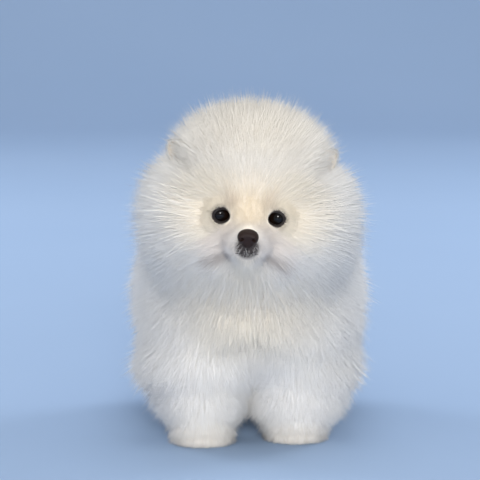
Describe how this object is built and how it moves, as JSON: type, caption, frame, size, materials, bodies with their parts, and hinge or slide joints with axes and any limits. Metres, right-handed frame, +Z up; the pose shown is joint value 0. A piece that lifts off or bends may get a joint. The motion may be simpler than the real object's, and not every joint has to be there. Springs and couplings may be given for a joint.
{
  "type": "pomeranian puppy",
  "caption": "Still life-size model of a fluffy white pomeranian puppy that stands on four short legs and looks ahead.",
  "frame": {"origin": "middle of the dog's outline on the floor that it stands on", "axes": "+Z up, the dog faces -Y, and +X is towards its left side"},
  "size_m": [0.1576, 0.2228, 0.2177],
  "materials": {
    "coat": "soft white fur",
    "ear": "thin skin with short fur",
    "eye": "wet and glossy",
    "nose": "moist, finely pebbled skin"
  },
  "bodies": {
    "root": {"head": "coat", "neck": "coat", "torso": "coat", "tail": "coat", "leg_front_left": "coat", "leg_front_right": "coat", "leg_hind_left": "coat", "leg_hind_right": "coat", "ear_left": "ear", "ear_right": "ear", "eye_left": "eye", "eye_right": "eye", "nose": "nose"}
  },
  "joints": []
}
